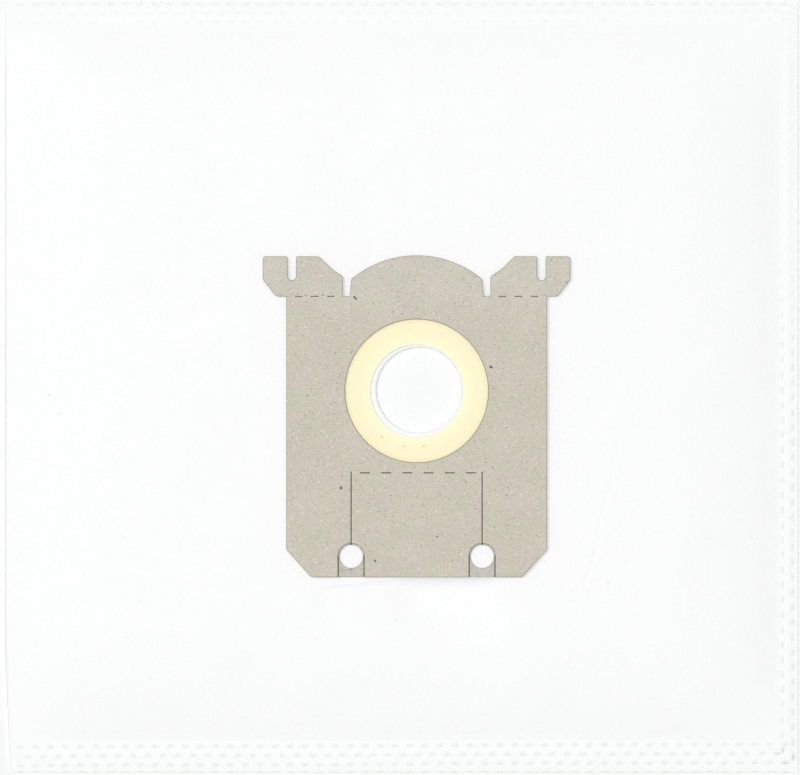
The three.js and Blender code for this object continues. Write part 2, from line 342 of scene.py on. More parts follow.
def smooth(value, low, high):
    """0 below low, 1 above high, and smooth in between."""
    share = np.clip((value - low) / (high - low), 0, 1)
    return share * share * (3 - 2 * share)


def front_outside(across, along):
    from_fold = 2 * FOLD_RADIUS + (BAG_TOP - 2 * FOLD_RADIUS) * rise(across - FOLD_RADIUS)
    from_seam = SEAM + (BAG_TOP - SEAM) * rise(BAG_WIDTH - SIDE_SEAM - across)
    return SEAM + (np.minimum(from_fold, from_seam) - SEAM) * rise_along(along)


def trimmed_share(across, along):
    """The welded band is pressed thinner towards its trimmed edge, as a share of its height."""
    from_edge = np.minimum(np.minimum(along, BAG_LENGTH - along), BAG_WIDTH - across)
    return TRIMMED / SEAM + (1 - TRIMMED / SEAM) * smooth(from_edge, 0, TRIMMED_REACH)


def front_inside(across, along):
    fold_gap = 2 * (FOLD_RADIUS - FLEECE)
    from_fold = fold_gap + (INSIDE - fold_gap) * rise(across - FOLD_RADIUS)
    from_seam = INSIDE * rise(BAG_WIDTH - SIDE_SEAM - across)
    return FLEECE + np.minimum(from_fold, from_seam) * rise_along(along)


def back_dome(across, along):
    """How far the back wall stands off the floor: a low dome round the inlet, and nothing at the seams."""
    x, y = in_frame(across, along)
    bell = np.exp(-((x - HOLE_X) ** 2 + (y - HOLE_Y) ** 2) / DOME_RADIUS ** 2)
    return DOME_HEIGHT * np.clip(bell - DOME_END, 0, 1) / (1 - DOME_END)


def drawn_in(across, along):
    """The folded edge is drawn in a little towards the bottom seam."""
    inward = DRAW_IN_DEPTH * np.clip(1 - along / DRAW_IN_LENGTH, 0, 1) ** DRAW_IN_POWER
    return inward * (1 - rise(across - FOLD_RADIUS))


print("height at the collar, mm:", round(float(front_outside(152.0, 148.0)), 2))

# %% [markdown]
# ## The fleece as one closed skin
# The sheet has a real thickness, so its mesh is one closed skin: an outside, a smaller inside and a rim
# round the inlet that joins the two. A Solidify modifier would be quicker, but it can't let the two walls
# touch at the welds, where the bag is only 1.2 mm thick.
#
# Each wall is a plain grid. Its lines follow the weld rows, so the weld bands can be divided finely later.
# Round the inlet the grid turns from a square loop into a circle, ring by ring. At the folded edge the
# outside runs round a small half circle.

# %% Builder for grids of points and faces
HOLE_SOFTNESS = 0.25
HOLE_POINTS = 64

points, faces, weld_faces = [], [], []
lining_points = []


def add_points(x, y, z):
    """Adds an array of points, in mm, and gives back an array of their numbers."""
    x, y, z = np.broadcast_arrays(x, y, z)
    start = len(points)
    points.extend(np.stack([x, y, z], -1).reshape(-1, 3).tolist())
    return start + np.arange(x.size).reshape(x.shape)


def add_face(*corners, weld=None):
    """Adds a face from the corners' numbers. Corners that fall together are left out."""
    kept = list(dict.fromkeys(int(c) for c in corners))
    if len(kept) > 2:
        if weld:
            weld_faces.append((len(faces), weld))
        faces.append(kept)


def add_grid(numbers, open_cells=None, weld_cells=None, weld=None):
    """Adds the faces of a grid of points, without its open cells."""
    for j, i in np.ndindex(numbers.shape[0] - 1, numbers.shape[1] - 1):
        if open_cells is None or not open_cells[j, i]:
            in_weld = weld if weld_cells is not None and weld_cells[j, i] else None
            add_face(numbers[j, i], numbers[j, i + 1], numbers[j + 1, i + 1], numbers[j + 1, i], weld=in_weld)


def square_loop(numbers, first_row, first_column, cells):
    """The numbers round a square block of cells, from its lower left corner and to the right."""
    last_row, last_column = first_row + cells, first_column + cells
    return np.concatenate([
        numbers[first_row, first_column:last_column],
        numbers[first_row:last_row, last_column],
        numbers[last_row, last_column:first_column:-1],
        numbers[last_row:first_row:-1, first_column],
    ])


def circle_at(radius):
    angles = math.radians(-135) + np.arange(HOLE_POINTS) * 2 * math.pi / HOLE_POINTS
    return HOLE_X + radius * np.cos(angles), HOLE_Y + radius * np.sin(angles)


def add_ring(inner, outer):
    """Joins two loops of points. Where the outer one has half as many, its faces fan out."""
    count = len(inner)
    if len(outer) == count:
        for k in range(count):
            add_face(outer[k], outer[(k + 1) % count], inner[(k + 1) % count], inner[k])
        return
    for k in range(len(outer)):
        a, b = outer[k], outer[(k + 1) % len(outer)]
        c, d, e = inner[2 * k], inner[2 * k + 1], inner[(2 * k + 2) % count]
        for corners in ((a, d, c), (a, b, d), (b, e, d)):
            add_face(*corners)


def add_hole(loop, rings, height):
    """Rings of faces from a square loop in a wall to the edge of the inlet hole. Gives back the last loop."""
    square = np.array([points[n] for n in loop])
    while len(square) < HOLE_POINTS:
        middles = (square + np.roll(square, -1, axis=0)) / 2
        square = np.stack([square, middles], 1).reshape(-1, 3)
    x, y = circle_at(HOLE_RADIUS + HOLE_SOFTNESS)
    from_x, from_y = square[:, 0], square[:, 1]
    for ring in range(1, rings + 1):
        share = ring / rings
        made = add_points(from_x + (x - from_x) * share, from_y + (y - from_y) * share, height)
        add_ring(made, loop)
        loop = made
    return loop


# %% Lines of the grids
WELD_PITCH, WELD_ROW = 5.76, 3.55
SIDE_ROWS = (1.8, 5.7)
NEXT_TO_FOLD = 2.7

nose_angles = np.radians([0, 22.5, 45, 67.5])
side_lines = [BAG_WIDTH - SIDE_SEAM, BAG_WIDTH - SIDE_SEAM / 2, BAG_WIDTH]
across_lines = np.array([*FOLD_RADIUS * (1 - np.cos(nose_angles)), FOLD_RADIUS, NEXT_TO_FOLD,
                         *np.arange(4, 292.1, WELD_PITCH / 2), 294.6, *side_lines])
bottom_lines = [0, *(WELD_ROW * (np.arange(3) + 0.5))]
top_lines = [BAG_LENGTH - line for line in bottom_lines[2::-1]]
along_lines = np.array([*bottom_lines, *np.linspace(12.425, 287.125, 96), *top_lines])
across_inside = np.array([FOLD_RADIUS, *np.arange(4, 292.1, WELD_PITCH), BAG_WIDTH - SIDE_SEAM])
along_inside = np.linspace(12.425, 287.0, 49)
print("outside lines:", across_lines.size, "by", along_lines.size)


# %% Build the two skins of the fleece
def outside_points():
    """Numbers of the points of the front and back walls, which share the tip of the fold."""
    across, along = np.meshgrid(across_lines, along_lines)
    nose = across < FOLD_RADIUS
    turn = np.arccos(1 - np.minimum(across, FOLD_RADIUS) / FOLD_RADIUS)
    nose_radius = SEAM / 2 + (FOLD_RADIUS - SEAM / 2) * rise_along(along)
    place = np.where(nose, nose_radius * (1 - np.cos(turn)), across)
    x, y = in_frame(place + drawn_in(across, along), along)
    share = trimmed_share(across, along)
    high = np.where(nose, nose_radius * (1 + np.sin(turn)), front_outside(across, along)) * share
    low = np.where(nose, nose_radius * (1 - np.sin(turn)) * share, back_dome(across, along))
    front, back = add_points(x, y, high), add_points(x, y, low)
    back[:, 0] = front[:, 0]
    return front, back


def inside_points():
    """Numbers of the points of the pocket's roof and floor, which meet at the seams."""
    across, along = np.meshgrid(across_inside, along_inside)
    x, y = in_frame(across + drawn_in(across, along), along)
    roof = add_points(x, y, front_inside(across, along))
    bottom = add_points(x, y, FLEECE + back_dome(across, along))
    bottom[0], bottom[-1], bottom[:, -1] = roof[0], roof[-1], roof[:, -1]
    return roof, bottom


def hole_block(across, along, cells):
    """First row and column of the square block of cells that has the inlet in its middle."""
    x, y = in_frame(across, along)
    column = int(np.argmin(np.abs(x - HOLE_X))) - cells // 2
    row = int(np.argmin(np.abs(y - HOLE_Y))) - cells // 2
    block = np.zeros((along.size - 1, across.size - 1), bool)
    block[row:row + cells, column:column + cells] = True
    return row, column, block


def build_skins():
    front, back = outside_points()
    row, column, block = hole_block(across_lines, along_lines, 16)
    weld_cells = np.zeros_like(block)
    weld_cells[:4] = weld_cells[-3:] = weld_cells[:, -2:] = True
    weld_cells[:, across_lines[:-1] < NEXT_TO_FOLD] = False
    add_grid(front, block, weld_cells, "front")
    add_grid(back, None, weld_cells, "back")
    for edge in (np.s_[0], np.s_[-1], np.s_[:, -1]):
        add_grid(np.stack([front[edge], back[edge]]))
    outer_rim = add_hole(square_loop(front, row, column, 16), 5, BAG_TOP)

    first_inside = len(points)
    roof, bottom = inside_points()
    row, column, block = hole_block(across_inside, along_inside, 8)
    add_grid(roof, block)
    add_grid(bottom)
    add_grid(np.stack([roof[:, 0], bottom[:, 0]]))
    rim = add_hole(square_loop(roof, row, column, 8), 3, BAG_TOP - FLEECE)
    for height in (BAG_TOP - FLEECE + HOLE_SOFTNESS, BAG_TOP - HOLE_SOFTNESS):
        next_rim = add_points(*circle_at(HOLE_RADIUS), height)
        add_ring(next_rim, rim)
        rim = next_rim
    add_ring(outer_rim, rim)
    lining_points.extend(range(first_inside, len(points)))


build_skins()
print("fleece before dividing:", len(faces), "faces")

# %% [markdown]
# ## Let the front wall settle
# Fleece is limp, and the front wall is always a little longer than the room between its seams, so it
# buckles into soft waves. Sums of sines could draw such waves, but they would run straight through the
# seams and the collar. Blender's Cloth finds waves that respect both.
#
# A plain grid stands for the front wall. Its points on the seams and under the glued collar are pinned, the
# cloth is made 0.2% too long by a negative shrink factor, and gravity is off, because the wall only has to
# buckle, not fall. A few gentle seeded waves give the buckling a start, or it would begin at the size of a
# cell. After 25 frames we keep each point's height as a table, capped, and remove the grid.

# %% Simulate the front wall as cloth
COLLAR_X, COLLAR_Y = 5.8, -1.4
COLLAR_HALF, COLLAR_UP, COLLAR_DOWN = 50, 52, 71.5
WAVE_SEED, WAVE_COUNT, WAVE_HEIGHT = 7, 24, 0.12
CLOTH_CELL = 5.0
CLOTH_EXCESS = 0.002
CLOTH_FRAMES = 25
LIFT_CAP = 0.75


def past_collar(x, y):
    """How far a point is outside the collar's block, to the sides and along."""
    outside_x = np.maximum(np.abs(x - COLLAR_X) - COLLAR_HALF, 0)
    outside_y = np.maximum(np.maximum(y - COLLAR_Y - COLLAR_UP, COLLAR_Y - COLLAR_DOWN - y), 0)
    return np.hypot(outside_x, outside_y)


def gentle_waves(x, y):
    random = np.random.RandomState(WAVE_SEED)
    total = np.zeros(x.shape)
    for _ in range(WAVE_COUNT):
        length = random.uniform(24, 70)
        turn, start = random.uniform(0, 2 * math.pi, 2)
        ahead = x * math.cos(turn) + y * math.sin(turn)
        total += WAVE_HEIGHT * np.sin(2 * math.pi * ahead / length + start)
    return total


def hang_cloth(piece, held):
    """Gives the grid a Cloth modifier for a light, limp fleece, pinned at the held points."""
    pins = piece.vertex_groups.new(name="held")
    pins.add([int(n) for n in held], 1.0, "REPLACE")
    cloth = piece.modifiers.new("limp_fleece", "CLOTH")
    with_settings(cloth.settings, quality=5, mass=0.05, bending_stiffness=3, vertex_group_mass="held",
                  shrink_min=-CLOTH_EXCESS, shrink_max=-CLOTH_EXCESS)
    cloth.settings.effector_weights.gravity = 0
    cloth.collision_settings.use_collision = False
    cloth.point_cache.frame_end = CLOTH_FRAMES


def settled_lift():
    """Table of how far the cloth has moved up, in mm, and the places of its rows and columns."""
    across_places, along_places = [np.linspace(0, size, round(size / CLOTH_CELL) + 1)
                                   for size in (BAG_WIDTH, BAG_LENGTH)]
    across, along = np.meshgrid(across_places, along_places)
    x, y = in_frame(across, along)
    resting = front_outside(across, along)
    held = (across < 2) | (across > BAG_WIDTH - SIDE_SEAM) | (along < BOTTOM_SEAM)
    held |= (along > BAG_LENGTH - TOP_SEAM) | (past_collar(x, y) < 2)
    height = resting + np.where(held, 0, gentle_waves(x, y))
    mesh = bpy.data.meshes.new("front_wall")
    number = np.arange(x.size).reshape(x.shape)
    quads = np.stack([number[:-1, :-1], number[:-1, 1:], number[1:, 1:], number[1:, :-1]], -1).reshape(-1, 4)
    mesh.from_pydata((np.stack([x, y, height], -1).reshape(-1, 3) * MM).tolist(), [], quads.tolist())
    wall = add_object("front_wall", mesh)
    hang_cloth(wall, number[held])
    for frame_number in range(1, CLOTH_FRAMES + 1):
        bpy.context.scene.frame_set(frame_number)
    settled = wall.evaluated_get(bpy.context.evaluated_depsgraph_get()).data
    places = np.empty(3 * x.size)
    settled.vertices.foreach_get("co", places)
    lift = places.reshape(-1, 3)[:, 2].reshape(x.shape) / MM - resting
    bpy.data.objects.remove(wall)
    bpy.data.meshes.remove(mesh)
    bpy.context.scene.frame_set(1)
    return LIFT_CAP * np.tanh(lift / LIFT_CAP), across_places, along_places


lift_table, lift_across, lift_along = settled_lift()
print("cloth moved, mm:", round(float(lift_table.min()), 2), "to", round(float(lift_table.max()), 2))

# %% [markdown]
# ## Creases and puckers
# Some folds come from handling and not from slack: short puckers where the welding roller has gripped the
# fleece, a faint packing crease down the right of the bag, and a place where the fleece falls away below
# the collar, first along a soft line of its own and then right at the collar's lower edge. These are small
# moves in height from a few sums, which can be steered to the right places. Nothing may rise under the
# collar, which is glued down flat.

# %% Rules for the folds
CREASE = [(88.1, 0.8), (84.3, -13.0), (82.8, -24.1), (79.7, -39.5), (77.0, -49.1), (74.7, -63.3), (70.8, -75.2)]
FALL_LINE = [(-37, -77.0), (-24, -75.9), (-12, -74.5), (0, -73.2), (8, -72.9), (44, -72.9)]
CLOTH_SHARE = 0.45
PUCKER_HEIGHT, PUCKER_START, PUCKER_REACH, PUCKER_CLEARANCE = 0.12, 7, 13, 14
RIDGE_HEIGHT, RIDGE_WIDTH = 0.2, 3.2
GROOVE_DEPTH, GROOVE_WIDTH = 0.42, 0.85
DEEP_FALL, SHALLOW_FALL, FALL_REACH = 3.6, 0.9, 22
MOST_RISE = 0.9


def table_value(x, y):
    """The cloth's lift at any point, from the four nearest points of the table."""
    column = np.clip((x + BAG_WIDTH / 2) / lift_across[1], 0, lift_across.size - 1.001)
    row = np.clip((y + BAG_LENGTH / 2) / lift_along[1], 0, lift_along.size - 1.001)
    i, j = column.astype(int), row.astype(int)
    u, v = smooth(column - i, 0, 1), smooth(row - j, 0, 1)
    low = lift_table[j, i] * (1 - u) + lift_table[j, i + 1] * u
    high = lift_table[j + 1, i] * (1 - u) + lift_table[j + 1, i + 1] * u
    return low * (1 - v) + high * v


def path_distance(x, y, path):
    """Distance of points from a line through the path's points, and their place along it from 0 to 1."""
    best = np.full(x.shape, 1e9)
    share = np.zeros(x.shape)
    for k, ((ax, ay), (bx, by)) in enumerate(zip(path, path[1:])):
        dx, dy = bx - ax, by - ay
        t = np.clip(((x - ax) * dx + (y - ay) * dy) / (dx * dx + dy * dy), 0, 1)
        gap = np.hypot(x - ax - t * dx, y - ay - t * dy)
        closer = gap < best
        best = np.where(closer, gap, best)
        share = np.where(closer, (k + t) / (len(path) - 1), share)
    return best, share


def puckers(x, y):
    """Short waves that run into the bag from its seams and die out."""
    from_bottom = y + BAG_LENGTH / 2 - BOTTOM_SEAM
    from_top = BAG_LENGTH / 2 - TOP_SEAM - y
    from_side = BAG_WIDTH / 2 - SIDE_SEAM - x
    total = np.zeros(x.shape)
    for distance, place in ((from_bottom, x), (from_top, x + 50), (from_side, y)):
        wave = np.sin(place / 2.3 + 1.7 * np.sin(place / 9.1))
        wave += 0.6 * np.sin(place / 3.7 + 2.1 * np.sin(place / 17))
        total += wave * smooth(distance, 0, PUCKER_START) * np.exp(-np.clip(distance, 0, None) / PUCKER_REACH)
    return total


def crease_height(x, y):
    """A narrow groove on a soft ridge, uneven along its line."""
    gap, share = path_distance(x, y, CREASE)
    strength = (0.25 + 0.75 * smooth(share, 0.2, 0.75)) * (0.75 + 0.25 * np.sin(share * 47))
    ridge = RIDGE_HEIGHT * np.exp(-(gap / RIDGE_WIDTH) ** 2)
    return strength * (ridge - GROOVE_DEPTH * np.exp(-(gap / GROOVE_WIDTH) ** 2))


def fall_depth(x, y):
    """How far the fleece falls below its line: deep at the collar's edge, and shallow to the left of it."""
    below = np.clip(np.interp(x, *np.array(FALL_LINE).T) - y, 0, None)
    at_collar = smooth(x, -8, 8) * (1 - smooth(x, 30, 43))
    depth = DEEP_FALL * at_collar
    depth += SHALLOW_FALL * (1 - at_collar) * smooth(x, -37, -27) * (1 - smooth(x, 20, 30))
    width = 1.3 + 1.6 * at_collar
    return depth * (1 - np.exp(-below / width)) * smooth(below, 0, 0.6) * np.exp(-(below / FALL_REACH) ** 2)


def fold_heights(x, y):
    """How far each point of the front wall is moved up, in mm."""
    clear_of_collar = smooth(past_collar(x, y), 0, PUCKER_CLEARANCE)
    lift = CLOTH_SHARE * table_value(x, y) + PUCKER_HEIGHT * puckers(x, y) * clear_of_collar
    return np.clip(lift + crease_height(x, y) - fall_depth(x, y), -DEEP_FALL, MOST_RISE)


# %% [markdown]
# ## Divide the weld bands
# Weld dots are 2.8 by 1.2 mm. The bands that carry them need cells of half a millimetre, and so do the
# narrow creases, while the rest of the bag stays coarse. Subdividing only the edges of those faces does it,
# and grid fill keeps the new faces square. The folds are applied after that, so the fine cells bend too.

# %% Make the fleece mesh, divide it and fold it
FRONT_CUTS, BACK_CUTS = 5, 3
ABOVE_SEAMS = 5
FINE_AT_CREASE, FINE_AT_FALL = 5, 7


def skin_from(places, polygons):
    """A BMesh from lists of points and faces."""
    draft = bpy.data.meshes.new("draft")
    draft.from_pydata(places, [], polygons)
    skin = bmesh.new()
    skin.from_mesh(draft)
    bpy.data.meshes.remove(draft)
    return skin


def mesh_from(skin, name):
    """Turns a finished BMesh into a plain mesh, and says whether it is closed."""
    print(f"{name}: {len(skin.faces)} faces,", sum(not edge.is_manifold for edge in skin.edges), "open edges")
    mesh = bpy.data.meshes.new(name)
    skin.to_mesh(mesh)
    skin.free()
    return mesh


def shade_smooth(skin, sharpest=180):
    """Smooth shading, apart from edges where two faces meet at a sharper angle, in degrees."""
    for face in skin.faces:
        face.smooth = True
    for edge in skin.edges:
        edge.smooth = edge.calc_face_angle(0) < math.radians(sharpest)


def divide(skin, chosen, cuts):
    edges = {edge for face in chosen for edge in face.edges}
    bmesh.ops.subdivide_edges(skin, edges=list(edges), cuts=cuts, use_grid_fill=True)


def near_a_fold(face):
    centre = face.calc_center_median()
    if centre.z < ABOVE_SEAMS:
        return False
    x, y = np.array([centre.x]), np.array([centre.y])
    to_crease, to_fall = [path_distance(x, y, path)[0][0] for path in (CREASE, FALL_LINE)]
    return to_crease < FINE_AT_CREASE or to_fall < FINE_AT_FALL


def fleece_mesh():
    skin = skin_from(points, faces)
    skin.verts.ensure_lookup_table()
    lining = skin.verts.layers.float.new("lining")
    for n in lining_points:
        skin.verts[n][lining] = 1
    skin.faces.ensure_lookup_table()
    fine = {side: [skin.faces[n] for n, weld in weld_faces if weld == side] for side in ("front", "back")}
    creased = [face for face in skin.faces if near_a_fold(face)]
    divide(skin, fine["front"] + creased, FRONT_CUTS)
    divide(skin, [face for face in fine["back"] if face.is_valid], BACK_CUTS)
    bmesh.ops.delete(skin, geom=[v for v in skin.verts if not v.link_faces], context="VERTS")
    bmesh.ops.triangulate(skin, faces=[face for face in skin.faces if len(face.verts) > 4])
    bmesh.ops.recalc_face_normals(skin, faces=skin.faces)
    places = np.array([v.co for v in skin.verts])
    weight = np.clip(places[:, 2] / BAG_TOP, 0, 1)
    places[:, 2] += weight * fold_heights(places[:, 0], places[:, 1])
    for vertex, place in zip(skin.verts, places * MM):
        vertex.co = place
    shade_smooth(skin, 50)
    return mesh_from(skin, "fleece_sheet")


fleece_sheet = add_object("fleece_sheet", fleece_mesh())
print("fleece:", sum(len(p.vertices) - 2 for p in fleece_sheet.data.polygons), "triangles")

# %% [markdown]
# ## The weld dots
# A toothed welding roller presses rows of small oval pits through both walls. The same pit repeats some 450
# times, so Geometry Nodes press them: lines of points stand for the teeth, each point of the fleece looks
# for its nearest tooth, and an oval round that tooth is pushed in. The tree also stores how far a place is
# pressed, as an attribute that the material reads later. The dots show clearest at the bottom and fainter in
# the top band and up the side, so their depth and their darkness have a mask.
#
# The sizes are named inputs of the tree. They are set by the socket's identifier before the object is first
# evaluated, and the result is turned into a plain mesh. Each pass of the roller has its own row in a table.

# %% Rows of teeth: place of the first dot and number of dots
ROW_SLANT = 0.0041
FIRST_DOT, LAST_DOT, FIRST_SIDE_DOT = 6.1, 4.0, 4.85
BOTTOM_DROP, TOP_DROP = 0.6, 0.2


def row_across(shifted, middle_y):
    """A row that slants a little against the trimmed edge, as x and y of its first dot and its count."""
    start = FIRST_DOT + (WELD_PITCH / 2 if shifted else 0)
    x = start - BAG_WIDTH / 2
    return x, middle_y + ROW_SLANT * x, int((BAG_WIDTH - start - LAST_DOT) / WELD_PITCH) + 1


def column_along(shifted, from_edge):
    """A straight column along the side seam, which runs on through the corner of the bottom seam."""
    start = BOTTOM_SEAM + FIRST_SIDE_DOT + (WELD_PITCH / 2 if shifted else 0) - 2 * WELD_PITCH
    count = int((BAG_LENGTH - TOP_SEAM - LAST_DOT - start) / WELD_PITCH) + 1
    return BAG_WIDTH / 2 - from_edge, start - BAG_LENGTH / 2, count


bottom_edge, top_edge = -BAG_LENGTH / 2, BAG_LENGTH / 2
rows_across = [row_across(row == 2, bottom_edge + row * WELD_ROW - BOTTOM_DROP) for row in (1, 2, 3)]
rows_across += [row_across(row == 1, top_edge - row * WELD_ROW - TOP_DROP) for row in (1, 2)]
row_on_bottom, row_on_top = row_across(False, bottom_edge + 0.3), row_across(False, top_edge - 0.1)
rows_along = [column_along(column == 1, from_edge) for column, from_edge in enumerate(SIDE_ROWS)]
print("weld dots:", sum(row[2] for row in [*rows_across, *rows_along, row_on_bottom, row_on_top]))


# %% How clearly the welds show
SIDE_BAND, TOP_BAND, TOP_TRIM = (140 * MM, 143 * MM), (134 * MM, 136 * MM), (145.6 * MM, 147.0 * MM)
SIDE_FADE = (-20 * MM, 70 * MM)


def weld_clearness(place):
    """Strong along the bottom and on the trimmed top edge, faint inside the top band, and fading up the side."""
    at = split(place)
    uneven = sum_of("SUBTRACT", noise_at(place, 40 * MM), 0.3, clamp=True)
    faded = step_up(at["X"], *SIDE_BAND) * step_up(at["Y"], *SIDE_FADE)
    in_top = step_up(at["Y"], *TOP_BAND)
    top_clear = largest([step_up(at["Y"], *TOP_TRIM), uneven])
    return (1.0 - faded) * (1.0 - in_top) + in_top * top_clear


# %% Lines of teeth, and how far they press
def new_group(name, kind, inputs, outputs):
    """A node group with named sockets. Gives back the group and the node that holds its inputs."""
    group = bpy.data.node_groups.new(name, kind)
    for in_out, sockets in (("INPUT", inputs), ("OUTPUT", outputs)):
        for socket, socket_kind in sockets.items():
            group.interface.new_socket(socket, in_out=in_out, socket_type="NodeSocket" + socket_kind)
    return group, add_node(group, "NodeGroupInput")


def teeth_lines(tree, rows, direction, pitch):
    """One line of points for each row of teeth, joined. The direction is for one pitch."""
    joined = add_node(tree, "GeometryNodeJoinGeometry")
    step = add_node(tree, "ShaderNodeVectorMath", {0: direction, "Scale": pitch}, operation="SCALE")
    for x, y, count in rows:
        inputs = {"Count": count, "Start Location": (x * MM, y * MM, SEAM * MM), "Offset": step}
        line = add_node(tree, "GeometryNodeMeshLine", inputs, mode="OFFSET")
        tree.links.new(line.socket, joined.socket.node.inputs[0])
    return joined


def pressed_near(tree, teeth, long_side, short_side, along_x):
    """1 in the middle of each dot and 0 outside its oval."""
    place = add_node(tree, "GeometryNodeInputPosition")
    nearest = add_node(tree, "GeometryNodeProximity", {0: teeth}, target_element="POINTS")
    sides = (long_side, short_side) if along_x else (short_side, long_side)
    oval = add_node(tree, "ShaderNodeCombineXYZ", {"X": 2.0 / sides[0], "Y": 2.0 / sides[1]})
    apart = vector_sum("SUBTRACT", place, nearest["Position"])
    radius = vector_sum("LENGTH", vector_sum("MULTIPLY", apart, oval))
    return step_down(radius, 0.75, 1.15)


# %% The tree that presses the dots
DOT_LENGTH, DOT_WIDTH = 2.8, 1.22
FRONT_DEPTH, BACK_DEPTH = 0.4, 0.2
LEAST_PRESSED = 0.35
LOWEST_FRONT, HIGHEST_WELD = 0.3, 1.6

# Rows, direction for one pitch, and the length and width of their dots as shares of the usual ones
ROLLER_PASSES = [
    (rows_across, (1, ROW_SLANT, 0), 1.0, 1.0),
    (rows_along, (0, 1, 0), 1.0, 1.0),
    ([row_on_top], (1, 0, 0), 1.15, 0.6),
    ([row_on_bottom], (1, 0, 0), 1.6, 0.6),
]


def weld_tree():
    sizes = ("Dot pitch", "Dot length", "Dot width", "Front depth", "Back depth", "Seam")
    inputs = {"Geometry": "Geometry", **{size: "Float" for size in sizes}, "Fleece": "Material"}
    tree, given = new_group("weld_dots", "GeometryNodeTree", inputs, {"Geometry": "Geometry"})
    dots = []
    for rows, direction, longer, wider in ROLLER_PASSES:
        teeth = teeth_lines(tree, rows, direction, given["Dot pitch"])
        long_side, short_side = given["Dot length"] * longer, given["Dot width"] * wider
        dots.append(pressed_near(tree, teeth, long_side, short_side, direction[0] == 1))
    place = add_node(tree, "GeometryNodeInputPosition")
    height = split(place)["Z"]
    in_seam = sum_of("LESS_THAN", height, given["Seam"] * HIGHEST_WELD)
    on_front = sum_of("GREATER_THAN", height, given["Seam"] * LOWEST_FRONT)
    pressed = largest(dots) * in_seam
    clear = weld_clearness(place)
    depth = add_node(tree, "ShaderNodeMix", {0: on_front, 2: given["Back depth"], 3: given["Front depth"] * -1.0})
    pressed_depth = pressed * (clear * (1 - LEAST_PRESSED) + LEAST_PRESSED) * depth
    move = add_node(tree, "ShaderNodeCombineXYZ", {"Z": pressed_depth})
    kept = {"Geometry": given["Geometry"], "Name": "pressed", "Value": pressed * clear}
    stored = add_node(tree, "GeometryNodeStoreNamedAttribute", kept)
    moved = add_node(tree, "GeometryNodeSetPosition", {"Geometry": stored, "Offset": move})
    real = add_node(tree, "GeometryNodeRealizeInstances", {0: moved})
    dressed = add_node(tree, "GeometryNodeSetMaterial", {"Geometry": real, "Material": given["Fleece"]})
    add_node(tree, "NodeGroupOutput", {0: dressed})
    return tree


def run_tree(piece, tree, values):
    """Runs a tree on a piece with the given sizes, and keeps the result as its plain mesh."""
    modifier = piece.modifiers.new(tree.name, "NODES")
    modifier.node_group = tree
    for item in tree.interface.items_tree:
        if item.in_out == "INPUT" and item.name in values:
            modifier[item.identifier] = values[item.name]
    made = bpy.data.meshes.new_from_object(piece.evaluated_get(bpy.context.evaluated_depsgraph_get()))
    piece.modifiers.clear()
    piece.data = made
    made.name = piece.name


# %% [markdown]
# ## Three effects that the finishes share
# Fleece and recycled board are both made of loose fibres, and both carry small flecks. So each effect is a
# node group, built once and placed in each material with its own sizes:
# - fibre_web gives thin bright threads in three directions, for a bump or a tint
# - flecks scatters small round spots of random size, of which a share is kept
# - named_spot marks one place, such as a fleck that this very piece has
#
# They read Object coordinates, which here are metres on the real piece, so a size in the group is a real
# size, and a pattern stays in place whatever the camera does.

# %% Node groups for fibres, flecks and single spots
THREAD_TURNS = ((0.2, 0.0), (1.35, 7.0), (2.4, 13.0))
RAGGED_SIZE = 1 / 2600


def mask_group(name, **inputs):
    """A shader node group that gives one mask, from a vector and other inputs."""
    return new_group(name, "ShaderNodeTree", {"Vector": "Vector", **inputs}, {"Mask": "Float"})


def fibre_web_group():
    group, given = mask_group("fibre_web", Spacing="Float", Stretch="Float")
    size = 1.0 / given["Spacing"]
    thin = add_node(group, "ShaderNodeCombineXYZ", {"X": size / given["Stretch"], "Y": size, "Z": size})
    ridges = []
    for turn, offset in THREAD_TURNS:
        turned = add_node(group, "ShaderNodeVectorRotate", {"Vector": given["Vector"], "Angle": turn},
                          rotation_type="Z_AXIS")
        place = vector_sum("ADD", vector_sum("MULTIPLY", turned, thin), (offset, 0, 0))
        ridges.append(step_down(abs(noise_at(place, 1.0, 1.0) - 0.5), 0.0, 0.11))
    add_node(group, "NodeGroupOutput", {0: largest(ridges)})
    return group


def flecks_group():
    group, given = mask_group("flecks", Spacing="Float", Radius="Float", Share="Float")
    cells = add_node(group, "ShaderNodeTexVoronoi", {"Vector": given["Vector"], "Scale": 1.0 / given["Spacing"]},
                     voronoi_dimensions="2D")
    chance = add_node(group, "ShaderNodeSeparateColor", {0: cells["Color"]})
    radius = given["Radius"] * (chance[1] + 0.35)
    spot = step_down(cells["Distance"] * given["Spacing"] / radius, 0.6, 1.1)
    kept = sum_of("LESS_THAN", chance[0], given["Share"])
    add_node(group, "NodeGroupOutput", {0: spot * kept})
    return group


def named_spot_group():
    group, given = mask_group("named_spot", Place="Vector", Radius="Float")
    ragged = noise_at(given["Vector"], RAGGED_SIZE, 1.0) * 0.7
    gap = distance_from(given["Vector"], given["Place"]) / given["Radius"] + ragged
    add_node(group, "NodeGroupOutput", {0: step_down(gap, 0.9, 1.4)})
    return group


def effect(group, **values):
    """Places a shared effect in a material."""
    return add_node(tree_of(values.values()), "ShaderNodeGroup", values, node_tree=group)


def with_spots(under, place, spots, strength, *shade):
    """Lays single spots over a colour. Each spot has x, y and a radius in mm."""
    for x, y, radius in spots:
        spot = effect(named_spot, Vector=place, Place=(x * MM, y * MM, 0), Radius=radius * MM)
        under = tint(under, spot * strength, *shade)
    return under


def bump(height, distance):
    return add_node(tree_of([height]), "ShaderNodeBump", {"Height": height, "Distance": distance, "Strength": 1.0})


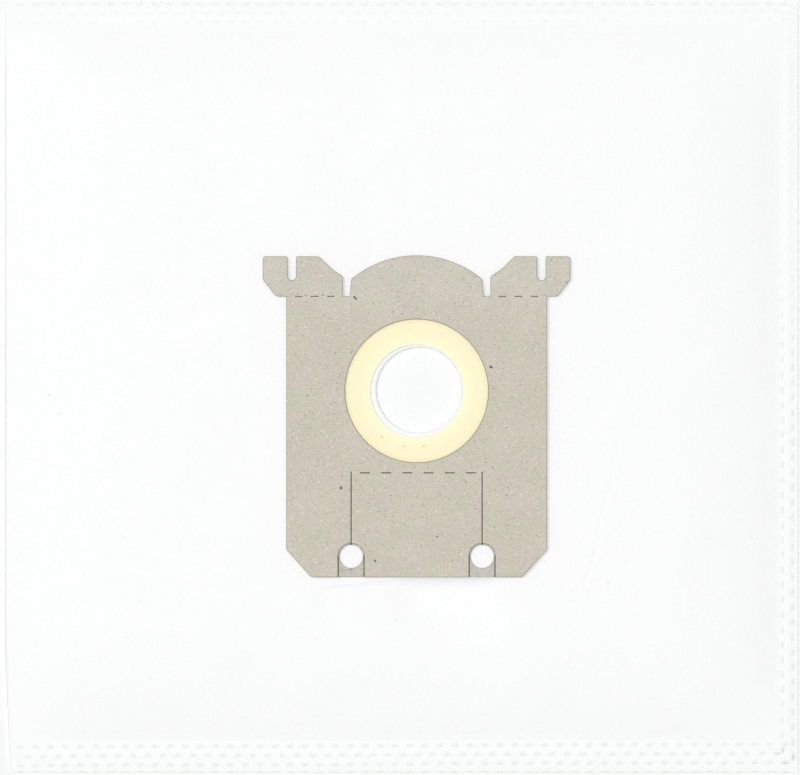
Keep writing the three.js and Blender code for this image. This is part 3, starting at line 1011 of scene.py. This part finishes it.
fibre_web, flecks, named_spot = fibre_web_group(), flecks_group(), named_spot_group()
print("shared effects:", fibre_web.name, flecks.name, named_spot.name)

# %% [markdown]
# ## The fleece's finish
# The fleece is nearly white and fully matt. From close by it is a web of fine fibres, pressed together at
# tiny regular points, and slightly cloudy where the web is thicker. The welded dots are a little darker,
# because melted fleece lets light through, and the pressed bands look a touch greener than the loose web.
# A few flecks of dust lie on it. A base colour just under white keeps the shading from clipping.
# Where the side's and the bottom's welds cross, the fleece is melted twice and darkest.
# The lining is a finer and whiter web, which is why the bag looks so bright through the inlet.

# %% Fleece material, and the fleece as a finished piece
WELD_CROSSING = (149.0 * MM, -143.5 * MM, 0)
FLEECE_FLECKS = [(79.3, -74.8, 0.45), (-96.6, -111.7, 0.45), (-135.4, -3.0, 0.45), (-131.5, -10.3, 0.45)]


def fleece_finish():
    finish = new_material("white_fleece")
    tree = finish.node_tree
    place = add_node(tree, "ShaderNodeTexCoord")["Object"]
    pressed, lining = [add_node(tree, "ShaderNodeAttribute", attribute_name=name)["Fac"]
                       for name in ("pressed", "lining")]
    threads = effect(fibre_web, Vector=place, Spacing=0.9 * MM, Stretch=9.0)
    cloud = noise_at(place, 6 * MM, 3.0)
    white = blend_colours(cloud, colour(251, 252, 252), colour(253, 254, 253))
    white = tint(white, threads * 0.3, 254, 254, 254)
    white = tint(white, step_down(split(place)["Z"], 1 * MM, 2 * MM) * 0.7, 251, 253, 252)
    white = tint(white, pressed * 0.9, 232, 236, 235)
    to_crossing = vector_sum("LENGTH", vector_sum("SUBTRACT", place, WELD_CROSSING))
    white = tint(white, pressed * (step_down(to_crossing, 3 * MM, 8 * MM) * 0.7), 205, 213, 211)
    white = with_spots(white, place, FLEECE_FLECKS, 0.35, 180, 178, 172)
    fine_web = blend_colours(cloud, colour(250, 251, 251), colour(251, 252, 252))
    bonds = add_node(tree, "ShaderNodeTexVoronoi", {"Vector": place, "Scale": 800.0, "Randomness": 0.12},
                     voronoi_dimensions="2D")
    bonded = step_down(bonds["Distance"], 0.12, 0.34)
    relief = threads * 0.6 - bonded * 0.5 + cloud * 0.8
    return give_surface(finish, {
        "Base Color": blend_colours(lining, white, fine_web), "Roughness": 0.95 - pressed * 0.35,
        "Specular IOR Level": 0.2, "Sheen Weight": 0.05, "Normal": bump(relief, 0.04 * MM)})


def declare(piece, node_name):
    """Hides the solid that a piece stands for, and hangs the piece on the one body."""
    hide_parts(node_name)
    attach(piece, "root")


run_tree(fleece_sheet, weld_tree(), {
    "Dot pitch": WELD_PITCH * MM, "Dot length": DOT_LENGTH * MM, "Dot width": DOT_WIDTH * MM,
    "Front depth": FRONT_DEPTH * MM, "Back depth": BACK_DEPTH * MM, "Seam": SEAM * MM, "Fleece": fleece_finish(),
})
declare(fleece_sheet, "fleece_bag")
print("fleece points pressed:", sum(d.value > 0.5 for d in fleece_sheet.data.attributes["pressed"].data))

# %% [markdown]
# ## The two boards
# Both boards are die-cut from thick recycled greyboard, so each cut edge is slightly crushed and rounded.
# A Bevel modifier does this well on simple shapes. The front board has slits half a millimetre wide beside
# long straight edges, and there a bevel's corners run into each other.
#
# So the front board is rebuilt from its outlines. They are read from the solid's flat face, each outline is
# drawn in by a little, more at the open edges than at the slits, and rings of faces join the steps. A knife
# cut closes again a little, so the slits are drawn 0.09 mm tighter on each side. The plain back board keeps
# its solid's shape and gets a Bevel modifier.

# %% Read the outlines of the front board
SLIT_X, FLAP_FOLD_Y, EAR_FOLD_Y = 25.15, -31.5, 36.3
EDGE_SOFTNESS, SLIT_SOFTNESS, UNDERSIDE_SOFTNESS = 0.3, 0.06, 0.1
SLIT_CLOSING = 0.09


def merged_copy(node_name):
    """A CAD node's mesh with its loose triangles joined."""
    skin = bmesh.new()
    skin.from_mesh(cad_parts[node_name].data)
    bmesh.ops.remove_doubles(skin, verts=skin.verts, dist=0.001 * MM)
    return skin


def outlines(node_name):
    """Closed outlines of a board's top face, as arrays of x and y in mm, with the board on their left."""
    skin = merged_copy(node_name)
    top = max(v.co.z for v in skin.verts)
    following = {}
    for face in skin.faces:
        if face.normal.z < 0.9 or abs(face.calc_center_median().z - top) > 0.01 * MM:
            continue
        for loop in face.loops:
            if any(abs(other.normal.z) < 0.5 for other in loop.edge.link_faces):
                following[loop.vert] = loop.link_loop_next.vert
    found = []
    while following:
        vertex = next(iter(following))
        outline = []
        while vertex in following:
            outline.append((vertex.co.x / MM, vertex.co.y / MM))
            vertex = following.pop(vertex)
        found.append(np.array(outline))
    skin.free()
    return found


def in_knife_cut(outline):
    """True for the points of an outline on a slit or a dash."""
    x, y = np.abs(outline[:, 0] - COLLAR_X), outline[:, 1] - COLLAR_Y
    in_slit = (np.abs(x - SLIT_X) < 0.5) & (y > -61) & (y < -30)
    in_flap_fold = (np.abs(y - FLAP_FOLD_Y) < 0.6) & (x < 24)
    in_ear_fold = (np.abs(y - EAR_FOLD_Y) < 0.6) & (x > 30) & (x < 48)
    return in_slit | in_flap_fold | in_ear_fold


def drawn_outline(outline, distance):
    """The outline moved into the board by a distance at each of its points."""
    ahead = np.roll(outline, -1, axis=0) - outline
    ahead /= np.linalg.norm(ahead, axis=1)[:, None]
    left = np.stack([-ahead[:, 1], ahead[:, 0]], 1)
    before = np.roll(left, 1, axis=0)
    spread = 1 + (left * before).sum(1)
    return outline + (left + before) / np.maximum(spread, 0.35)[:, None] * distance[:, None]


front_outlines = outlines("front_board")
print("front board outlines:", len(front_outlines), "points:", sum(len(o) for o in front_outlines))


# %% Build the front board from its outlines
def edge_steps(outline, low, high):
    """The outline drawn in step by step, with the height of each step, from the face to the underside."""
    cut = in_knife_cut(outline)
    soft = np.where(cut, SLIT_SOFTNESS, EDGE_SOFTNESS)
    outline = drawn_outline(outline, np.where(cut, -SLIT_CLOSING, 0.0))
    under = np.full(len(outline), UNDERSIDE_SOFTNESS)
    steps = [(drawn_outline(outline, soft * (1 - math.sin(a))), high - soft * (1 - math.cos(a)))
             for a in np.radians([0, 30, 60, 90])]
    return [*steps, (outline, low + under), (drawn_outline(outline, under), low + 0 * under)]


def front_board_mesh():
    low, high = (v.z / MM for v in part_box("front_board"))
    skin = bmesh.new()
    top_edges, bottom_edges = [], []
    for outline in front_outlines:
        rings = [[skin.verts.new((x * MM, y * MM, z * MM)) for (x, y), z in zip(ring, heights)]
                 for ring, heights in edge_steps(outline, low, high)]
        for upper, lower in zip(rings, rings[1:]):
            for k in range(len(upper)):
                m = (k + 1) % len(upper)
                skin.faces.new((upper[k], lower[k], lower[m], upper[m]))
        for ring, edges in ((rings[0], top_edges), (rings[-1], bottom_edges)):
            edges += [skin.edges.get((ring[k], ring[(k + 1) % len(ring)])) for k in range(len(ring))]
    for edges, up in ((top_edges, 1), (bottom_edges, -1)):
        bmesh.ops.triangle_fill(skin, edges=edges, use_beauty=True, use_dissolve=False, normal=(0, 0, up))
    bmesh.ops.recalc_face_normals(skin, faces=skin.faces)
    for face in skin.faces:
        face.smooth = abs(face.normal.z) < 0.999
    return mesh_from(skin, "card_front")


# %% Back board: a copy of its solid with softened edges
BACK_SOFTNESS = 0.14


def back_board_mesh():
    skin = merged_copy("back_board")
    bmesh.ops.dissolve_limit(skin, angle_limit=math.radians(1), verts=skin.verts, edges=skin.edges)
    shade_smooth(skin, 30)
    return mesh_from(skin, "card_back")


def soften_edges(piece):
    with_settings(piece.modifiers.new("softened_edges", "BEVEL"), width=BACK_SOFTNESS * MM, segments=2,
                  limit_method="ANGLE", angle_limit=math.radians(40), use_clamp_overlap=False,
                  harden_normals=True)


def finished_piece(mesh, finish, node_name):
    mesh.materials.append(finish)
    piece = add_object(mesh.name, mesh)
    declare(piece, node_name)
    return piece


# %% [markdown]
# ## The board's finish
# What makes it look like recycled board: a warm grey ground with pinkish and greenish clouds, a little
# cooler towards the ears, short fibres that run mostly one way, dark and pale flecks that lie at two angles,
# and darker, layered cut edges, found by their tilt. Painted shade darkens the back board in lines below
# the slits, perforations and notch sides of the front board, and a thin brown line of painted shade runs
# round the window's edge. A Mapping node of the Texture type makes round flecks longer and turns them.

# %% Painted shade lines on the boards
COLLAR_MIDDLE = (COLLAR_X * MM, COLLAR_Y * MM, 0)
WINDOW_RADIUS = 27.5
CUT_SHADE_HALF = 0.42
SLIT_MIDDLE, SLIT_HALF = -47.2, 15.4
NOTCH_HALF, NOTCH_SHADE_HALF = 5.1, 0.38
NOTCH_MIDDLE, NOTCH_REACH = -69.0, 4.2


def near(value, middle, half):
    """1 where a value is within half a width of its middle, both in mm."""
    return step_down(abs(value - middle * MM), half * MM, half * MM * 1.15)


def painted_cut_shade(place):
    """Painted shade: dark lines on the back board below the slits, perforations and notch sides of the front
    board.
    """
    at = split(place)
    from_middle = abs(at["X"] - COLLAR_X * MM)
    slits = near(from_middle, SLIT_X, CUT_SHADE_HALF) * near(at["Y"], SLIT_MIDDLE, SLIT_HALF)
    flap_fold = near(at["Y"], COLLAR_Y + FLAP_FOLD_Y, CUT_SHADE_HALF) * near(from_middle, 0, SLIT_X)
    ear_folds = near(at["Y"], COLLAR_Y + EAR_FOLD_Y, CUT_SHADE_HALF)
    notches = near(abs(from_middle - SLIT_X * MM), NOTCH_HALF, NOTCH_SHADE_HALF)
    notches = notches * near(at["Y"], NOTCH_MIDDLE, NOTCH_REACH) * 0.8
    return largest([slits, flap_fold, ear_folds, notches])


def window_edge_shade(place):
    """The thin brown line of painted shade round the window's edge, uneven along it."""
    uneven = noise_at(place, 20 * MM) * 0.4 + 0.22
    return near(distance_from(place, COLLAR_MIDDLE), WINDOW_RADIUS + 0.12, 0.16) * uneven


# %% Board material
FRONT_GROUND, BACK_GROUND = (207, 203, 193), (199, 199, 194)
BOARD_SPOTS = [(-18.1, 34.6, 0.6), (-17.5, 33.9, 0.55), (34.2, 7.8, 0.6), (34.6, 7.6, 0.5),
               (-23.2, -38.7, 0.75), (-10.2, -66.7, 0.55), (13.6, -57.5, 0.45)]

# Turn, times as long as wide, shift in m, spacing, radius, share kept, strength and colour
BOARD_FLECKS = [
    (0.5, 2.4, (0, 0, 0), 2.4, 0.25, 0.5, 0.55, (233, 230, 219)),
    (-0.4, 2.0, (0, 0, 0), 2.0, 0.24, 0.55, 0.5, (158, 152, 136)),
    (0.0, 1.0, (-0.73, -0.41, 0), 5.5, 0.27, 0.25, 0.7, (112, 103, 92)),
]


def stretched(place, turn, times, shift=(0, 0, 0)):
    """Coordinates in which a round spot comes out several times as long, lying at an angle."""
    inputs = {"Vector": place, "Location": shift, "Rotation": (0, 0, turn), "Scale": (times, 1, 1)}
    return add_node(tree_of([place]), "ShaderNodeMapping", inputs, vector_type="TEXTURE")


def shifted(shade, step):
    return colour(*[v + step for v in shade])


def pulp_colour(place, ground):
    """The cloudy ground of the board, with its tints."""
    def clouds(size, detail, first, second):
        patches = step_down(noise_at(place, size * MM, detail), 0.4, 0.6)
        return blend_colours(patches, colour(*first), colour(*second))

    grit = step_down(noise_at(place, 0.9 * MM, 5.0), 0.3, 0.7)
    pulp = blend_colours(grit, shifted(ground, 8), shifted(ground, -8))
    pulp = tint(pulp, noise_at(place, 9 * MM, 3.0) * 0.45, *ground)
    pulp = blend_colours(1.0, pulp, clouds(13, 2.0, (255, 255, 255), (251, 251, 251)), "MULTIPLY")
    tinted = blend_colours(1.0, pulp, clouds(10, 4.0, (255, 251, 250), (250, 253, 245)), "MULTIPLY")
    pulp = blend_colours(0.95, pulp, tinted)
    at_ears = step_up(split(place)["Y"], 20 * MM, 40 * MM)
    warmth = blend_colours(at_ears, colour(254, 251, 249), colour(255, 255, 255))
    return blend_colours(1.0, pulp, warmth, "MULTIPLY")


def board_finish(name, ground, with_cut_shade):
    finish = new_material(name)
    coordinates = add_node(finish.node_tree, "ShaderNodeTexCoord")
    place = coordinates["Object"]
    pulp = pulp_colour(place, ground)
    streaks = noise_at(stretched(place, 0.05, 2.4), 0.55 * MM, 3.0)
    pulp = tint(pulp, step_down(streaks, 0.31, 0.38) * 0.6, 178, 171, 157)
    pulp = tint(pulp, step_down(1.0 - streaks, 0.31, 0.37) * 0.6, 229, 226, 214)
    threads = effect(fibre_web, Vector=place, Spacing=1.2 * MM, Stretch=5.0)
    pulp = tint(pulp, threads * 0.12, 222, 218, 205)
    for turn, times, shift, spacing, radius, share, strength, shade in BOARD_FLECKS:
        found = effect(flecks, Vector=stretched(place, turn, times, shift), Spacing=spacing * MM,
                       Radius=radius * MM, Share=share)
        pulp = tint(pulp, found * strength, *shade)
    if with_cut_shade:
        # painted shade where the front board's cuts look down onto the back board
        pulp = tint(pulp, painted_cut_shade(place), 98, 90, 80)
    else:
        pulp = with_spots(pulp, place, BOARD_SPOTS, 0.85, 92, 84, 76)
        # painted shade: a thin brown line round the window's edge
        pulp = tint(pulp, window_edge_shade(place), 128, 110, 86)
    cut = step_down(abs(split(coordinates["Normal"])["Z"]), 0.72, 0.995)
    layered = add_node(finish.node_tree, "ShaderNodeMapping", {"Vector": place, "Scale": (0.12, 0.12, 1.0)})
    layers = noise_at(layered, 0.22 * MM, 2.0)
    pulp = blend_colours(cut, pulp, blend_colours(layers, shifted(ground, -64), shifted(ground, -36)))
    grain = streaks * 0.7 + noise_at(place, 0.6 * MM, 3.0) + layers * (cut * 2.0)
    return give_surface(finish, {"Base Color": pulp, "Roughness": 0.92, "Specular IOR Level": 0.2,
                                 "Normal": bump(grain, 0.035 * MM)})


finished_piece(front_board_mesh(), board_finish("greyboard_front", FRONT_GROUND, False), "front_board")
soften_edges(finished_piece(back_board_mesh(), board_finish("greyboard_back", BACK_GROUND, True),
                            "back_board"))

# %% [markdown]
# ## The rubber seal
# The seal is a thin cream ring of soft rubber, held between the boards by its outer part. Inside the back
# board's hole nothing carries it, so it sags a little and thins out towards its rounded lip, and light
# shines through it there. The finish paints that light as a paler cream, palest at the lip, and paints shade
# as a darker cream next to the window's edge. One cross-section spun round the inlet makes it. The rings of
# points are written out directly, so that the mesh is closed without merging.

# %% Make the seal
SEAL_HOLE_RADIUS, SEAL_RADIUS = 17.65, 30.5
SEAL_BOTTOM, SEAL_TOP = 8.8, 9.5
INLET_RADIUS = 21.0
SEAL_SAG = 0.25
LIP, RIM_SOFTNESS = 0.18, 0.1
SEAL_TURNS = 128


def seal_section():
    """The cross-section as (radius, height), from the rim over the top, round the lip and back below."""
    def hanging_share(radius):
        return max(0, (INLET_RADIUS - radius) / (INLET_RADIUS - SEAL_HOLE_RADIUS)) ** 2

    inner = SEAL_HOLE_RADIUS + LIP
    radii = [SEAL_RADIUS - RIM_SOFTNESS, 29, 27.5, 25, 23, 21.6, 21, 20.4, 19.8, 19.2, 18.6, 18.2, inner]
    top = [(r, SEAL_TOP - SEAL_SAG * hanging_share(r)) for r in radii]
    thinner = SEAL_TOP - SEAL_BOTTOM - 2 * LIP
    bottom = [(r, SEAL_BOTTOM - (SEAL_SAG - thinner) * hanging_share(r)) for r in reversed(radii)]
    middle = (top[-1][1] + bottom[0][1]) / 2
    lip = [(inner - LIP * math.sin(a), middle + LIP * math.cos(a)) for a in np.radians([30, 60, 90, 120, 150])]
    rim = [(SEAL_RADIUS, SEAL_BOTTOM + RIM_SOFTNESS), (SEAL_RADIUS, SEAL_TOP - RIM_SOFTNESS)]
    return [*top, *lip, *bottom, *rim]


def seal_mesh():
    section = seal_section()
    count = len(section)
    places, quads = [], []
    for k in range(SEAL_TURNS):
        angle = 2 * math.pi * k / SEAL_TURNS
        places += [((COLLAR_X + radius * math.cos(angle)) * MM, (COLLAR_Y + radius * math.sin(angle)) * MM,
                    height * MM) for radius, height in section]
        a, b = k * count, (k + 1) % SEAL_TURNS * count
        quads += [(a + n, b + n, b + (n + 1) % count, a + (n + 1) % count) for n in range(count)]
    skin = skin_from(places, quads)
    bmesh.ops.recalc_face_normals(skin, faces=skin.faces)
    shade_smooth(skin)
    return mesh_from(skin, "rubber_seal")


# %% Rubber material
SEAL_SPECKS = [(-7.5, -19.1, 0.46), (1.0, -22.6, 0.46), (8.6, -22.6, 0.46)]


def rubber_finish():
    finish = new_material("cream_rubber")
    place = add_node(finish.node_tree, "ShaderNodeTexCoord")["Object"]
    radius = distance_from(place, COLLAR_MIDDLE)
    # painted light: a paler cream inside the inlet, where light shines through the hanging rubber
    shine_where_hanging = step_down(radius, (INLET_RADIUS - 2.4) * MM, (INLET_RADIUS + 3.0) * MM)
    cream = blend_colours(shine_where_hanging, colour(252, 244, 205), colour(253, 252, 214))
    # painted light: paler still at the thin, rounded lip
    cream = tint(cream, step_down(radius, SEAL_HOLE_RADIUS * MM, (SEAL_HOLE_RADIUS + 1.5) * MM), 254, 255, 236)
    # painted shade: darker cream next to the window's edge, under the front board's edge
    cream = tint(cream, step_up(radius, (WINDOW_RADIUS - 2.4) * MM, WINDOW_RADIUS * MM) * 0.6, 243, 232, 198)
    mottled = noise_at(place, 4 * MM, 3.0)
    cream = tint(cream, mottled * 0.35, 250, 238, 200)
    cream = with_spots(cream, place, SEAL_SPECKS, 0.5, 168, 156, 120)
    return give_surface(finish, {
        "Base Color": cream, "Roughness": mottled * 0.15 + 0.48, "Specular IOR Level": 0.3,
        "Subsurface Weight": 0.15, "Subsurface Radius": (1.0, 0.9, 0.5), "Subsurface Scale": 0.6 * MM,
        "Normal": bump(noise_at(place, 1.2 * MM, 3.0), 0.03 * MM)})


finished_piece(seal_mesh(), rubber_finish(), "seal_ring")

# %% [markdown]
# ## Print the two boxes
# The box of everything shown is printed beside the box that the frame had at the start. The two should
# agree, apart from the little that cloth may stand proud.

# %% Print both boxes
shown_low, shown_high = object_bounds()
boxes = {"cad": [list(cad_low), list(cad_high)], "visual": [list(shown_low), list(shown_high)]}
for name, box in boxes.items():
    print(name, "box in mm:", [[round(v / MM, 2) for v in corner] for corner in box])
